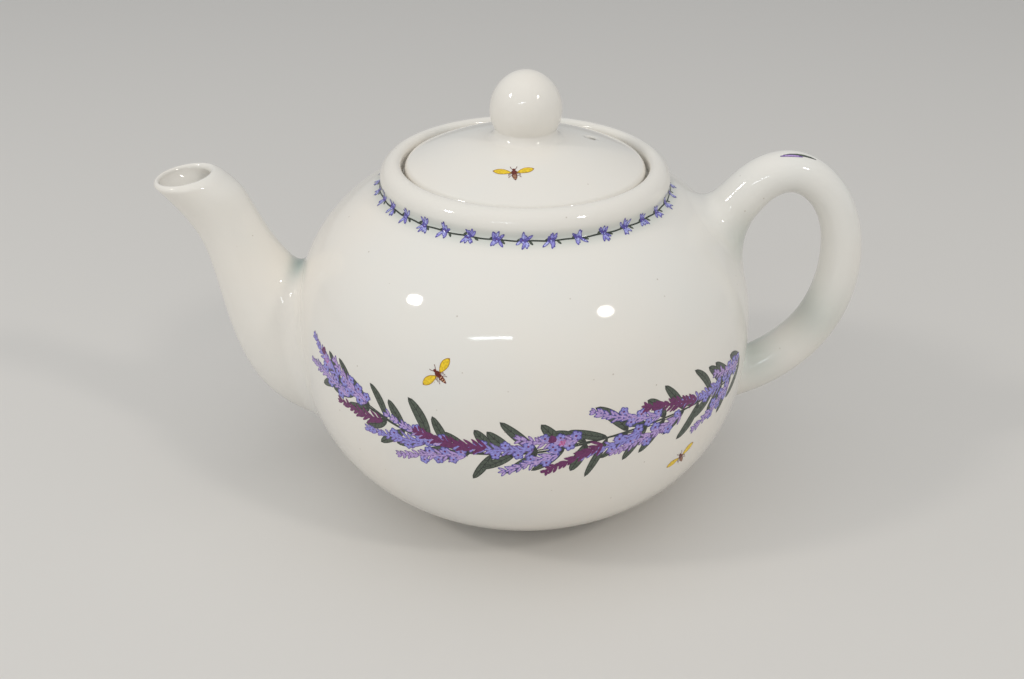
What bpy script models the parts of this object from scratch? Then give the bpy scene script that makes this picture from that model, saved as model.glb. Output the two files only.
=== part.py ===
"""A round-bellied glazed ceramic teapot with an inset lid, a curved spout and a loop handle.

Metres, +Z up. +X runs from the spout to the handle, and +Y is the far side. The origin is under the middle
of the whole pot, spout tip to handle, at the level it stands on. The pot is turned about the upright axis
at x = AXIS_X, and every profile and section below is measured from that axis.
"""

import math

import bmesh
import bpy
import numpy as np

# The belly: two superellipse halves that meet at its widest level.
BELLY_RADIUS = 0.0800
BELLY_LEVEL = 0.0618
LOWER_REACH, LOWER_POWER = 0.0675, 2.31
UPPER_REACH, UPPER_POWER = 0.0613, 2.38
WALL = 0.0045
FLOOR_LEVEL = 0.0080

# The rolled rim, the gallery that the lid rests in, and the neck below it.
RIM_RADIUS = 0.0493
RIM_TOP = 0.1230
RIM_CROWN_RADIUS = 0.0440
RIM_FOOT_LEVEL = 0.1146
RIM_SHOULDER = 0.0064
GALLERY_RADIUS = 0.0418
GALLERY_LIP = 0.0021
GALLERY_LEVEL = 0.1174
NECK_RADIUS = 0.0368
NECK_FOOT_LEVEL = 0.1139

# The foot: a plain ring, with a shallow recess inside it.
FOOT_RADIUS = 0.0402
FOOT_INNER_RADIUS = 0.0350
FOOT_HEIGHT = 0.0018
FOOT_CHAMFER = 0.0006
RECESS_HEIGHT = 0.0030
RECESS_SLOPE = 0.0015

# The lid: a dome with a flat seat and a locating collar below it.
LID_RADIUS = 0.0407
LID_EDGE_LEVEL = 0.1216
LID_EDGE_ROUND = 0.0012
LID_FOOT_CHAMFER = 0.0004
DOME_RISE = 0.0100
LID_THICKNESS = 0.0045
COLLAR_RADIUS = 0.0355
COLLAR_INNER_RADIUS = 0.0325
COLLAR_DEPTH = 0.0087
CEILING_CHAMFER = 0.0010
VENT_RADIUS = 0.0016
VENT_DRILL = 0.020
VENT_FROM_AXIS = 0.0230
VENT_TURN = math.radians(15)

# The knob: a hollow ball, a little taller than round, on a boss of the lid.
KNOB_RADIUS = 0.0121
KNOB_LEVEL = 0.1399
KNOB_RISE = 0.0133
KNOB_NECK_RADIUS = 0.0104
KNOB_WALL = 0.0040
KNOB_BORE = 0.0045
BOSS_RADIUS = 0.0135

# The spout's sections, from its mouth to inside the belly. Each is an ellipse across the plane y = 0:
# distance out from the axis, height, tilt of its long axis, half its length and half its width.
SPOUT_SECTIONS = (
    (0.1145, 0.1140, 6.0, 0.0120, 0.0125),
    (0.1085, 0.1075, 16.0, 0.0115, 0.0115),
    (0.1055, 0.1030, 22.0, 0.0110, 0.0110),
    (0.0985, 0.0870, 24.0, 0.0120, 0.0120),
    (0.0890, 0.0680, 27.0, 0.0180, 0.0165),
    (0.0740, 0.0515, 38.0, 0.0255, 0.0215),
    (0.0510, 0.0420, 50.0, 0.0275, 0.0235),
)
SPOUT_WALL = 0.0030
SPOUT_OVERCUT = 0.0040

# The handle's centre line, with its half thickness in the plane y = 0: distance from the axis, height, size.
HANDLE_LINE = (
    (0.0600, 0.0945, 0.0100),
    (0.0730, 0.1085, 0.0080),
    (0.0800, 0.1160, 0.0075),
    (0.0900, 0.1195, 0.0070),
    (0.1020, 0.1130, 0.0065),
    (0.1105, 0.0910, 0.0070),
    (0.1030, 0.0600, 0.0075),
    (0.0850, 0.0440, 0.0080),
    (0.0640, 0.0360, 0.0080),
)
HANDLE_FLATTENING = 1.10

# The strainer: a hexagon of holes through the wall behind the spout.
STRAINER_LEVEL = 0.0500
STRAINER_PITCH = 0.0072
STRAINER_RINGS = 2
STRAINER_RADIUS = 0.0019
STRAINER_DRILL = 0.030

SPOUT_REACH = SPOUT_SECTIONS[0][0] + SPOUT_SECTIONS[0][3]
HANDLE_REACH = max(out + size for out, level, size in HANDLE_LINE)
AXIS_X = (SPOUT_REACH - HANDLE_REACH) / 2
GAP = 0.0003
MERGE = 0.00005
SHARP_ANGLE = math.radians(40)

# How finely the round shapes are divided.
TURN_STEPS = 48
KNOB_STEPS = 28
BELLY_POINTS = 16
INNER_POINTS = 12
SPOUT_SIDES = 28
SPOUT_RINGS = 20
HANDLE_RINGS = 38
HANDLE_BEVEL = 4
DRILL_SIDES = 10


def clear_scene():
    for obj in list(bpy.data.objects):
        bpy.data.objects.remove(obj, do_unlink=True)


def new_collection(name, hidden=False):
    collection = bpy.data.collections.new(name)
    bpy.context.scene.collection.children.link(collection)
    collection.hide_render = hidden
    return collection


def clay(name, color, roughness):
    material = bpy.data.materials.new(name)
    material.use_nodes = True
    shader = material.node_tree.nodes["Principled BSDF"]
    shader.inputs["Base Color"].default_value = (*color, 1)
    shader.inputs["Roughness"].default_value = roughness
    shader.inputs["Metallic"].default_value = 0
    return material


def add_object(name, data, collection, parent, material=None):
    obj = bpy.data.objects.new(name, data)
    collection.objects.link(obj)
    obj.parent = parent
    if material:
        data.materials.append(material)
    else:
        obj.hide_render = True
        obj.display_type = "WIRE"
    return obj


def smooth(mesh):
    mesh.shade_smooth()
    mesh.set_sharp_from_angle(angle=SHARP_ANGLE)


def belly_arc(start, stop, grow, count):
    """Points (radius, level) along the belly, grown by grow, evenly spread round its curve."""
    turns = []
    for level in (start, stop):
        reach, power = belly_half(level, grow)
        lift = min(1.0, abs(level - BELLY_LEVEL) / reach)
        turns.append(math.copysign(math.asin(lift ** (power / 2)), level - BELLY_LEVEL))
    points = []
    for turn in np.linspace(*turns, count):
        reach, power = belly_half(BELLY_LEVEL + turn, grow)
        radius = (BELLY_RADIUS + grow) * math.cos(turn) ** (2 / power)
        rise = reach * abs(math.sin(turn)) ** (2 / power)
        points.append((radius, BELLY_LEVEL + math.copysign(rise, turn)))
    return points


def belly_half(level, grow):
    if level < BELLY_LEVEL:
        return LOWER_REACH + grow, LOWER_POWER
    return UPPER_REACH + grow, UPPER_POWER


def oval_arc(centre, radii, start, stop, count):
    """Points (radius, level) on an oval, from start to stop degrees counted up from the +radius side."""
    points = []
    for turn in np.radians(np.linspace(start, stop, count)):
        points.append((centre[0] + radii[0] * math.cos(turn), centre[1] + radii[1] * math.sin(turn)))
    return points


def turned(name, profile, collection, parent, material=None, steps=TURN_STEPS):
    """A solid turned about the parent's upright axis. The profile runs down its outer side."""
    mesh = bpy.data.meshes.new(name)
    edges = [(i, i + 1) for i in range(len(profile) - 1)]
    mesh.from_pydata([(radius, 0, level) for radius, level in profile], edges, [])
    obj = add_object(name, mesh, collection, parent, material)
    screw = obj.modifiers.new("turn", "SCREW")
    screw.steps = steps
    screw.render_steps = steps
    screw.use_merge_vertices = True
    screw.merge_threshold = MERGE
    screw.use_smooth_shade = True
    return obj


def cut(obj, cutter):
    boolean = obj.modifiers.new(f"cut {cutter.name}", "BOOLEAN")
    boolean.operation = "DIFFERENCE"
    boolean.solver = "EXACT"
    boolean.object = cutter


def spline_rows(keys, count):
    """Rows spread along a natural cubic spline through the key rows."""
    keys = np.array(keys, float)
    steps = np.linalg.norm(np.diff(keys[:, :2], axis=0), axis=1)
    knots = np.concatenate([[0], np.cumsum(steps)])
    slopes = np.diff(keys, axis=0) / steps[:, None]
    system = np.eye(len(keys))
    right = np.zeros_like(keys)
    for i in range(1, len(keys) - 1):
        system[i, i - 1 : i + 2] = steps[i - 1], 2 * (steps[i - 1] + steps[i]), steps[i]
        right[i] = 6 * (slopes[i] - slopes[i - 1])
    bend = np.linalg.solve(system, right)
    rows = []
    for at in np.linspace(0, knots[-1], count):
        i = min(int(np.searchsorted(knots, at, side="right")) - 1, len(steps) - 1)
        h, a = steps[i], at - knots[i]
        b = h - a
        curve = (bend[i] * b**3 + bend[i + 1] * a**3) / (6 * h)
        line = (keys[i] / h - bend[i] * h / 6) * b + (keys[i + 1] / h - bend[i + 1] * h / 6) * a
        rows.append(curve + line)
    return rows


def loft(name, rings, collection, parent, material=None):
    """A closed solid through equal rings of points, capped at both ends."""
    mesh = bpy.data.meshes.new(name)
    bm = bmesh.new()
    rows = [[bm.verts.new(point) for point in ring] for ring in rings]
    sides = len(rows[0])
    for upper, lower in zip(rows, rows[1:]):
        for i in range(sides):
            j = (i + 1) % sides
            bm.faces.new((upper[i], upper[j], lower[j], lower[i]))
    bm.faces.new(rows[0])
    bm.faces.new(rows[-1])
    bmesh.ops.recalc_face_normals(bm, faces=bm.faces)
    bm.to_mesh(mesh)
    bm.free()
    smooth(mesh)
    return add_object(name, mesh, collection, parent, material)


def spout_ring(section, wall):
    out, level, tilt, half_length, half_width = section
    ring = []
    for turn in np.linspace(0, 2 * math.pi, SPOUT_SIDES, endpoint=False):
        along = (half_length - wall) * math.cos(turn)
        across = (half_width - wall) * math.sin(turn)
        x = -out + along * math.cos(math.radians(tilt))
        z = level + along * math.sin(math.radians(tilt))
        ring.append((x, across, z))
    return ring


def past_mouth(sections, distance):
    """The first section again, moved out of the mouth along its own normal."""
    out, level, tilt, *size = sections[0]
    out += distance * math.sin(math.radians(tilt))
    level += distance * math.cos(math.radians(tilt))
    return (out, level, tilt, *size)


def make_pot_body(parts, cutters, axis, material):
    profile = [(0, FLOOR_LEVEL)]
    profile += belly_arc(FLOOR_LEVEL, NECK_FOOT_LEVEL, -WALL, INNER_POINTS)
    profile += [(NECK_RADIUS, GALLERY_LEVEL), (GALLERY_RADIUS, GALLERY_LEVEL)]
    inner_lip = RIM_CROWN_RADIUS - GALLERY_RADIUS
    profile += oval_arc((RIM_CROWN_RADIUS, RIM_TOP - GALLERY_LIP), (inner_lip, GALLERY_LIP), 180, 90, 4)
    outer_lip = RIM_RADIUS - RIM_CROWN_RADIUS
    profile += oval_arc((RIM_CROWN_RADIUS, RIM_TOP - RIM_SHOULDER), (outer_lip, RIM_SHOULDER), 90, 0, 6)[1:]
    profile += belly_arc(RIM_FOOT_LEVEL, FOOT_HEIGHT, 0, BELLY_POINTS)
    profile += [(FOOT_RADIUS, FOOT_HEIGHT - FOOT_CHAMFER), (FOOT_RADIUS, FOOT_CHAMFER)]
    profile += [(FOOT_RADIUS - FOOT_CHAMFER, 0), (FOOT_INNER_RADIUS, 0)]
    profile += [(FOOT_INNER_RADIUS - RECESS_SLOPE, RECESS_HEIGHT), (0, RECESS_HEIGHT)]
    body = turned("pot_body", profile, parts, axis, material)
    for index, (y, z) in enumerate(hexagon(STRAINER_RINGS, STRAINER_PITCH)):
        drill = round_drill(f"strainer_drill_{index}", STRAINER_RADIUS, STRAINER_DRILL, cutters, axis)
        drill.rotation_euler = (0, math.pi / 2, 0)
        drill.location = (-BELLY_RADIUS, y, STRAINER_LEVEL + z)
        cut(body, drill)
    return body


def hexagon(rings, pitch):
    """Centres (across, up) of a hexagon of holes, ring by ring."""
    centres = []
    for row in range(-rings, rings + 1):
        in_row = 2 * rings + 1 - abs(row)
        for i in range(in_row):
            centres.append(((i - (in_row - 1) / 2) * pitch, row * pitch * math.sqrt(3) / 2))
    return centres


def round_drill(name, radius, length, cutters, axis):
    mesh = bpy.data.meshes.new(name)
    bm = bmesh.new()
    bmesh.ops.create_cone(
        bm, cap_ends=True, segments=DRILL_SIDES, radius1=radius, radius2=radius, depth=length
    )
    bm.to_mesh(mesh)
    bm.free()
    return add_object(name, mesh, cutters, axis)


def make_belly_cutter(cutters, axis):
    """The belly as a solid, a gap larger all round: it trims what is luted on to the pot."""
    profile = [(0, RIM_FOOT_LEVEL), *belly_arc(RIM_FOOT_LEVEL, 0, GAP, 2 * BELLY_POINTS), (0, 0)]
    return turned("belly_cutter", profile, cutters, axis)


def make_spout(parts, cutters, axis, belly, material):
    sections = spline_rows(SPOUT_SECTIONS, SPOUT_RINGS)
    spout = loft("spout", [spout_ring(row, 0) for row in sections], parts, axis, material)
    bore_sections = [past_mouth(sections, SPOUT_OVERCUT), *sections]
    bore = loft("spout_bore", [spout_ring(row, SPOUT_WALL) for row in bore_sections], cutters, axis)
    cut(spout, bore)
    cut(spout, belly)
    return spout


def make_handle(parts, axis, belly, material):
    curve = bpy.data.curves.new("handle_line", "CURVE")
    curve.dimensions = "3D"
    curve.bevel_depth = 1.0
    curve.bevel_resolution = HANDLE_BEVEL
    curve.use_fill_caps = True
    rows = spline_rows(HANDLE_LINE, HANDLE_RINGS)
    spline = curve.splines.new("POLY")
    spline.points.add(len(rows) - 1)
    for point, (out, level, size) in zip(spline.points, rows):
        point.co = (out, 0, level, 1)
        point.radius = size
    line = bpy.data.objects.new("handle_line", curve)
    parts.objects.link(line)
    bpy.context.view_layer.update()
    graph = bpy.context.evaluated_depsgraph_get()
    mesh = bpy.data.meshes.new_from_object(line.evaluated_get(graph))
    bpy.data.objects.remove(line, do_unlink=True)
    bm = bmesh.new()
    bm.from_mesh(mesh)
    bmesh.ops.remove_doubles(bm, verts=bm.verts, dist=MERGE)
    bmesh.ops.scale(bm, vec=(1, HANDLE_FLATTENING, 1), verts=bm.verts)
    bmesh.ops.recalc_face_normals(bm, faces=bm.faces)
    bm.to_mesh(mesh)
    bm.free()
    smooth(mesh)
    mesh.materials.clear()
    handle = add_object("handle", mesh, parts, axis, material)
    cut(handle, belly)
    return handle


def dome_level(radius):
    return LID_EDGE_LEVEL + DOME_RISE * (1 - (radius / LID_RADIUS) ** 2)


def ceiling_level(radius):
    return dome_level(radius) - LID_THICKNESS


def make_lid(parts, cutters, axis, material):
    seat = GALLERY_LEVEL + GAP
    boss_top = knob_foot_level() - GAP
    profile = [(KNOB_BORE, boss_top), (KNOB_NECK_RADIUS, boss_top)]
    drop = boss_top - dome_level(BOSS_RADIUS)
    profile += oval_arc((BOSS_RADIUS, boss_top), (BOSS_RADIUS - KNOB_NECK_RADIUS, drop), 180, 270, 4)[1:]
    edge = LID_RADIUS - LID_EDGE_ROUND
    profile += [(radius, dome_level(radius)) for radius in np.linspace(BOSS_RADIUS, edge, 7)[1:]]
    top = dome_level(edge)
    profile += oval_arc((edge, top - LID_EDGE_ROUND), (LID_EDGE_ROUND, LID_EDGE_ROUND), 90, 0, 4)[1:]
    profile += [(LID_RADIUS, seat + LID_FOOT_CHAMFER), (LID_RADIUS - LID_FOOT_CHAMFER, seat)]
    profile += [(COLLAR_RADIUS, seat), (COLLAR_RADIUS, seat - COLLAR_DEPTH)]
    profile += [(COLLAR_INNER_RADIUS, seat - COLLAR_DEPTH)]
    profile += [(COLLAR_INNER_RADIUS, ceiling_level(COLLAR_INNER_RADIUS) - CEILING_CHAMFER)]
    inside = np.linspace(COLLAR_INNER_RADIUS - CEILING_CHAMFER, KNOB_BORE, 5)
    profile += [(radius, ceiling_level(radius)) for radius in inside]
    profile += [(KNOB_BORE, boss_top)]
    lid = turned("lid", profile, parts, axis, material)
    vent = round_drill("vent_drill", VENT_RADIUS, VENT_DRILL, cutters, axis)
    x = VENT_FROM_AXIS * math.cos(VENT_TURN)
    y = VENT_FROM_AXIS * math.sin(VENT_TURN)
    vent.location = (x, y, dome_level(VENT_FROM_AXIS))
    cut(lid, vent)
    return lid


def knob_foot_level():
    return KNOB_LEVEL - KNOB_RADIUS * math.sqrt(1 - (KNOB_NECK_RADIUS / KNOB_RADIUS) ** 2)


def make_knob(parts, axis, material):
    foot = knob_foot_level()
    centre = (0, KNOB_LEVEL)
    inner = KNOB_RADIUS - KNOB_WALL
    inner_rise = KNOB_RISE - KNOB_WALL
    outer_dip = math.degrees(math.acos(KNOB_NECK_RADIUS / KNOB_RADIUS))
    inner_dip = math.degrees(math.acos(KNOB_BORE / inner))
    profile = [(0, KNOB_LEVEL + KNOB_RISE)]
    profile += oval_arc(centre, (KNOB_RADIUS, KNOB_RISE), 90, 0, 9)[1:]
    profile += oval_arc(centre, (KNOB_RADIUS, KNOB_RADIUS), 0, -outer_dip, 5)[1:]
    profile += [(KNOB_BORE, foot)]
    profile += oval_arc(centre, (inner, inner), -inner_dip, 0, 5)
    profile += oval_arc(centre, (inner, inner_rise), 0, 90, 7)[1:-1]
    profile += [(0, KNOB_LEVEL + inner_rise)]
    return turned("knob", profile, parts, axis, material, steps=KNOB_STEPS)


def main():
    clear_scene()
    parts = new_collection("teapot")
    cutters = new_collection("cutters", hidden=True)
    glaze = clay("cream_glaze", (0.80, 0.77, 0.71), 0.08)
    axis = bpy.data.objects.new("pot_axis", None)
    parts.objects.link(axis)
    axis.location = (AXIS_X, 0, 0)
    belly = make_belly_cutter(cutters, axis)
    make_pot_body(parts, cutters, axis, glaze)
    make_spout(parts, cutters, axis, belly, glaze)
    make_handle(parts, axis, belly, glaze)
    make_lid(parts, cutters, axis, glaze)
    make_knob(parts, axis, glaze)


main()
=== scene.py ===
"""The looks of a glazed teapot with a printed lavender garland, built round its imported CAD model.

Metres, +Z up, in the model's frame: +X runs from the spout to the handle, and +Y is the far side. Shapes are
worked out from the pot's upright axis, and moved to it when they become objects. The tables of sections and
the whole of the print are in millimetres, and are multiplied by MM where they are used.
"""

import math
import random

import bmesh
import bpy
import numpy as np
from mathutils import Matrix, Vector


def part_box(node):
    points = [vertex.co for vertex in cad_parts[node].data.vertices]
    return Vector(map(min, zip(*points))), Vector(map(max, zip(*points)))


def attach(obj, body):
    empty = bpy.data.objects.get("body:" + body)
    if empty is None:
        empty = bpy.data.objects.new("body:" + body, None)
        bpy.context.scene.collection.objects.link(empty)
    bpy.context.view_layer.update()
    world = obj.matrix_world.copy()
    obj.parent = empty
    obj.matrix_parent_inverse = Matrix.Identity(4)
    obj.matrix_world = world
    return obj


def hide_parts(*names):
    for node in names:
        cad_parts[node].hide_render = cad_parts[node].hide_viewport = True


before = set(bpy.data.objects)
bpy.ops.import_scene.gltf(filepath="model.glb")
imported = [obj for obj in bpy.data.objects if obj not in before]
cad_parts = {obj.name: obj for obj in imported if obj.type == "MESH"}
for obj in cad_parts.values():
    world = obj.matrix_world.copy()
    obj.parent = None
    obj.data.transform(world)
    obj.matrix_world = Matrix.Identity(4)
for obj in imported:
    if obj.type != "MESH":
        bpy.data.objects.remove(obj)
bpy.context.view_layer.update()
MM = 0.001

# What the frame says: the axis, and the widths and heights of the turned pieces.
body_low, body_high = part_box("pot_body")
lid_low, lid_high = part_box("lid")
knob_low, knob_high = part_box("knob")
AXIS = Vector(((body_low.x + body_high.x) / 2, 0, 0))
BELLY_RADIUS = (body_high.x - body_low.x) / 2
RIM_TOP = body_high.z
LID_RADIUS = (lid_high.x - lid_low.x) / 2
KNOB_RADIUS = (knob_high.x - knob_low.x) / 2
KNOB_TOP = knob_high.z

# The rest of the turned profiles, which follow the CAD's.
BELLY_LEVEL = 61.8 * MM
LOWER_REACH, LOWER_POWER = 67.5 * MM, 2.31
UPPER_REACH, UPPER_POWER = 61.3 * MM, 2.38
WALL = 4.5 * MM
FLOOR_LEVEL = 8.0 * MM
RIM_RADIUS = 49.3 * MM
RIM_CROWN_RADIUS = 44.0 * MM
RIM_FOOT_LEVEL = 114.6 * MM
RIM_SHOULDER = 6.4 * MM
GALLERY_RADIUS = 41.8 * MM
GALLERY_LIP = 2.1 * MM
GALLERY_LEVEL = 117.4 * MM
NECK_RADIUS = 36.8 * MM
NECK_FOOT_LEVEL = 113.9 * MM
FOOT_RADIUS, FOOT_INNER_RADIUS = 40.2 * MM, 35.0 * MM
FOOT_HEIGHT = 1.8 * MM
RECESS_HEIGHT = 3.0 * MM
LID_EDGE_LEVEL = 121.6 * MM
DOME_RISE = 10.0 * MM
LID_THICKNESS = 4.5 * MM
LID_SEAT = GALLERY_LEVEL + 0.3 * MM
COLLAR_RADIUS, COLLAR_INNER_RADIUS = 35.5 * MM, 32.5 * MM
COLLAR_FOOT = LID_SEAT - 8.7 * MM
VENT_RADIUS = 1.6 * MM
VENT_FROM_AXIS = 23.0 * MM
VENT_TURN = math.radians(15)
VENT_FLARE = 0.7 * MM
KNOB_LEVEL = 139.9 * MM
KNOB_NECK_RADIUS = 10.4 * MM
KNOB_FILLET = 3.1 * MM
KNOB_WALL = 4.0 * MM
KNOB_BORE = 4.5 * MM

# The spout's sections from mouth to root, in millimetres and degrees: distance out from the axis, height,
# tilt, half length, half width. The lip is thicker and higher on the pot's side than opposite.
SPOUT_SECTIONS = (
    (114.5, 114.0, 6.0, 12.0, 12.5),
    (108.5, 107.5, 16.0, 11.5, 11.5),
    (105.5, 103.0, 22.0, 11.0, 11.0),
    (98.5, 87.0, 24.0, 12.0, 12.0),
    (89.0, 68.0, 27.0, 18.0, 16.5),
    (74.0, 51.5, 38.0, 25.5, 21.5),
    (51.0, 42.0, 50.0, 27.5, 23.5),
)
SPOUT_WALL = 3.0 * MM
LIP_WALL = (5.0 * MM, 2.0 * MM)
LIP_RISE = (1.9 * MM, 1.4 * MM)
LIP_BLEND = 9.0 * MM
LIP_SHARE = 1.5
# The handle's centre line from head to foot: distance out, height, half thickness. It is wider than thick.
HANDLE_LINE = (
    (60.0, 94.5, 10.0),
    (73.0, 108.5, 8.0),
    (80.0, 116.0, 7.5),
    (90.0, 119.5, 7.0),
    (102.0, 113.0, 6.5),
    (110.5, 91.0, 7.0),
    (103.0, 60.0, 7.5),
    (85.0, 44.0, 8.0),
    (64.0, 36.0, 8.0),
)
HANDLE_FLATTENING = 1.10

# How far each joint's clay is smoothed out: on one side, at the flanks and opposite. The first side is the
# rim's, or at the handle's foot the base's.
SPOUT_FILLET = (5.5 * MM, 12.0 * MM, 7.0 * MM)
HANDLE_TOP_FILLET = (6.0 * MM, 9.0 * MM, 14.0 * MM)
HANDLE_FOOT_FILLET = (3.5 * MM, 5.0 * MM, 4.0 * MM)
FILLET_PULL = 0.62
# How far under the belly's glaze a joint's skirt ends, and its hidden rings lie.
SUNK = 0.03 * MM
BURIED = 0.6 * MM
# How far the glaze rounds corners, and how much further, and how near it, at the crease under the rim.
GLAZE_ROUNDING = 0.45 * MM
CREASE_ROUNDING, CREASE_REACH = 1.1 * MM, 4 * MM
LID_ROUNDING = 0.4 * MM

# The strainer: a hexagon of holes behind the spout.
STRAINER_LEVEL = 50.0 * MM
STRAINER_PITCH = 7.2 * MM
STRAINER_RINGS = 2
STRAINER_RADIUS = 1.9 * MM
STRAINER_DRILL, STRAINER_SIDES = 15 * MM, 16

# Where the glaze runs thick and shows blue-green, and one painted reflection: place out from the axis,
# height, reach and strength. The fourth place, on the handle's lower limb, is not thick glaze but a painted
# reflection of a green surrounding. The last is the reach and strength all round the crease under the rim.
POOLS_AND_PAINTED_REFLECTION = (
    (-79 * MM, 80 * MM, 4 * MM, 0.95),
    (73 * MM, 97 * MM, 9 * MM, 0.4),
    (84 * MM, 49 * MM, 8 * MM, 0.35),
    # painted reflection: blue-green on the handle's lower limb that stands for a green surrounding mirrored
    # in the glaze
    (104 * MM, 68 * MM, 10 * MM, 0.3),
)
CREASE_POOL = (2.5 * MM, 0.3)

# The print. Each ink has its sRGB colour, 0 to 255, and its place in the order of printing. No stroke is
# finer than FINE_STROKE, and past BROAD_STROKE it has a middle line, so that it follows the curve.
FRONT = -math.pi / 2
PRINT_LIFT = 0.04 * MM
INK_STEP = 0.012 * MM
FINE_STROKE, BROAD_STROKE = 0.015, 0.8
INKS = {
    "leaf_dark": ((58, 64, 58), 0),
    "leaf_grey": ((80, 89, 78), 1),
    "leaf_line": ((44, 48, 46), 2),
    "plum": ((108, 44, 96), 5),
    "indigo": ((92, 84, 160), 3),
    "violet": ((118, 92, 156), 3),
    "magenta": ((152, 52, 108), 3),
    "periwinkle": ((146, 142, 214), 4),
    "pale_blue": ((172, 176, 228), 4),
    "lilac": ((182, 156, 210), 4),
    "rose": ((190, 96, 150), 4),
    "ochre": ((168, 122, 24), 0),
    "yellow": ((232, 196, 44), 1),
    "russet": ((104, 42, 34), 2),
    "cream": ((214, 170, 130), 3),
}
# The garland is a swaying stem on the front, and another on the back. Two leaves and mostly a spike of
# lavender grow from each station along it, all leaning one way. The draws are seeded.
SEED = 7
GARLAND_SPAN = 164.0
GARLAND_CENTRE = 10.0
GARLAND_LEVEL = -3.5
GARLAND_LIFT = 8.0
GARLAND_SWAY = 2.5
GARLAND_WAVE = 118.0
GARLAND_STATIONS = 23
GARLAND_TWISTS = 2.5
TWIST_WIDTH = 0.9
STEM_WIDTHS = (0.9, 0.5)
LEAF_LEANS, LEAF_LENGTHS, LEAF_WIDTHS = (22, 58), (10, 16), (2.6, 4.0)
BARE_STATIONS = 5
SPIKE_LEANS, SPIKE_LENGTHS = (2, 20), (19, 28)
BUD_SHARES = (0.02, 0.55)
# A leaf's dark edge, midrib and veins.
LEAF_EDGE = 0.32
MIDRIB = 0.11
VEIN_TURN, VEIN_REACH, VEIN_WIDTHS = 42, 1.05, (0.09, 0.07, 0.03)
# A spike's stem and whorls of buds, which shorten towards its tip, and the florets between them.
SPIKE_STEM = 0.4
SPIKE_PLUMPNESS = 1.25
WHORL_PITCH = 1.7
BUD_LENGTH, BUD_SHORTENING = 3.3, 1.5
BUD_SPREAD = (22, 50)
FLORET_SIZES = (1.6, 2.1)
FLORET_EYE = 0.16
LILAC_SPIKE = ("violet", "lilac")
SPIKE_INKS = (LILAC_SPIKE, ("violet", "periwinkle"), ("indigo", "lilac"), LILAC_SPIKE, ("plum", "magenta"))
# Each insect's share of the way along the stem, how far above it, and its turn in degrees. The lid's insect
# has its place from the front of the dome, at one of the points along it.
INSECTS = ((0.28, 23.5, 50.0), (0.8, -21.0, 30.0))
LID_INSECT_SPOT, LID_INSECT_TURN = (-3.0, -3.0), 12.0
DOME_REFERENCE = 16
# The share of a petal's width that its pale middle takes.
PETAL_FILL = 0.6
# A bud's rows of scales: each one's place along it, from the tip back, and its outline and fill.
BUD_SCALES = (
    (8, ("plum", "magenta")),
    (6, ("indigo", "lilac")),
    (4, ("magenta", "rose")),
    (2, ("violet", "lilac")),
)
# The neck's band: its clusters, each one's leaves (place, turn, length), its petals' turns and lengths.
BAND_CLUSTERS = 36
BAND_LEAVES = ((-2.2, 35, 2.0), (1.6, -40, 1.8))
BAND_TURNS, BAND_LENGTHS = (52, 74, 98, 124), (1.9, 3.4)
BAND_STEM = 0.26
# Where the handle's sprig starts along the centre line, and how far it lies to the front.
HANDLE_SPRIG, SPRIG_FORWARD = 36.5, 2.2

# How finely round shapes are cut, what counts as on the axis or as no length, and where an edge is sharp.
TURN_STEPS, TUBE_SIDES, DRILL_SIDES = 224, 72, 28
ON_AXIS = 1e-7
TINY = 1e-9
SHARP_ANGLE = math.radians(42)


# ---- shapes

def unit(vectors):
    """The vectors, each made 1 long."""
    return vectors / np.linalg.norm(vectors, axis=-1, keepdims=True)


def gone_along(rows):
    """How far each row of points is from the first, measured from row to row."""
    steps = np.linalg.norm(np.diff(rows, axis=0), axis=-1)
    return np.concatenate([np.zeros_like(steps[:1]), np.cumsum(steps, axis=0)])


def rows_at(distances, gone, rows):
    """What the rows say at these distances, where gone is how far along each row is."""
    return np.stack([np.interp(distances, gone, column) for column in rows.T], axis=-1)


def bezier(start, near, far, end, t):
    """The cubic curve's point at t, 0 to 1."""
    first = start * (1 - t) ** 3 + near * 3 * t * (1 - t) ** 2
    return first + far * 3 * t**2 * (1 - t) + end * t**3


def belly_half(level):
    """The reach and power of the belly's half that a level, counted from its widest, lies in."""
    below = level < 0
    return np.where(below, LOWER_REACH, UPPER_REACH), np.where(below, LOWER_POWER, UPPER_POWER)


def belly_measures(points):
    """Each point's radius, its level from the belly's widest, and its half's reach and power."""
    level = points[..., 2] - BELLY_LEVEL
    return np.hypot(points[..., 0], points[..., 1]), level, *belly_half(level)


def belly_gauge(points):
    """1 on the belly's surface, less inside it and more outside."""
    radius, level, reach, power = belly_measures(points)
    return ((radius / BELLY_RADIUS) ** power + (abs(level) / reach) ** power) ** (1 / power)


def belly_normals(points):
    """Directions straight out of the belly's surface at these points on it."""
    radius, level, reach, power = belly_measures(points)
    out = (radius / BELLY_RADIUS) ** (power - 1) / BELLY_RADIUS
    up = np.sign(level) * (abs(level) / reach) ** (power - 1) / reach
    return unit(np.stack([out * points[..., 0] / radius, out * points[..., 1] / radius, up], axis=-1))


def on_belly(points, above):
    """The points moved on to the belly's surface, straight towards its centre, and then off it by above."""
    centre = np.array([0, 0, BELLY_LEVEL])
    placed = centre + (points - centre) / belly_gauge(points)[..., None]
    return placed + belly_normals(placed) * above


def belly_arc(start, stop, grow, count):
    """Points (radius, level) along the belly from one level to another, grown by grow."""
    levels = np.array((start, stop)) - BELLY_LEVEL
    reach, power = belly_half(levels)
    lift = np.minimum(1, abs(levels) / (reach + grow))
    turns = np.linspace(*np.copysign(np.arcsin(lift ** (power / 2)), levels), count)
    reach, power = belly_half(turns)
    radius = (BELLY_RADIUS + grow) * np.cos(turns) ** (2 / power)
    rise = (reach + grow) * abs(np.sin(turns)) ** (2 / power)
    return list(zip(radius, BELLY_LEVEL + np.copysign(rise, turns)))


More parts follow.
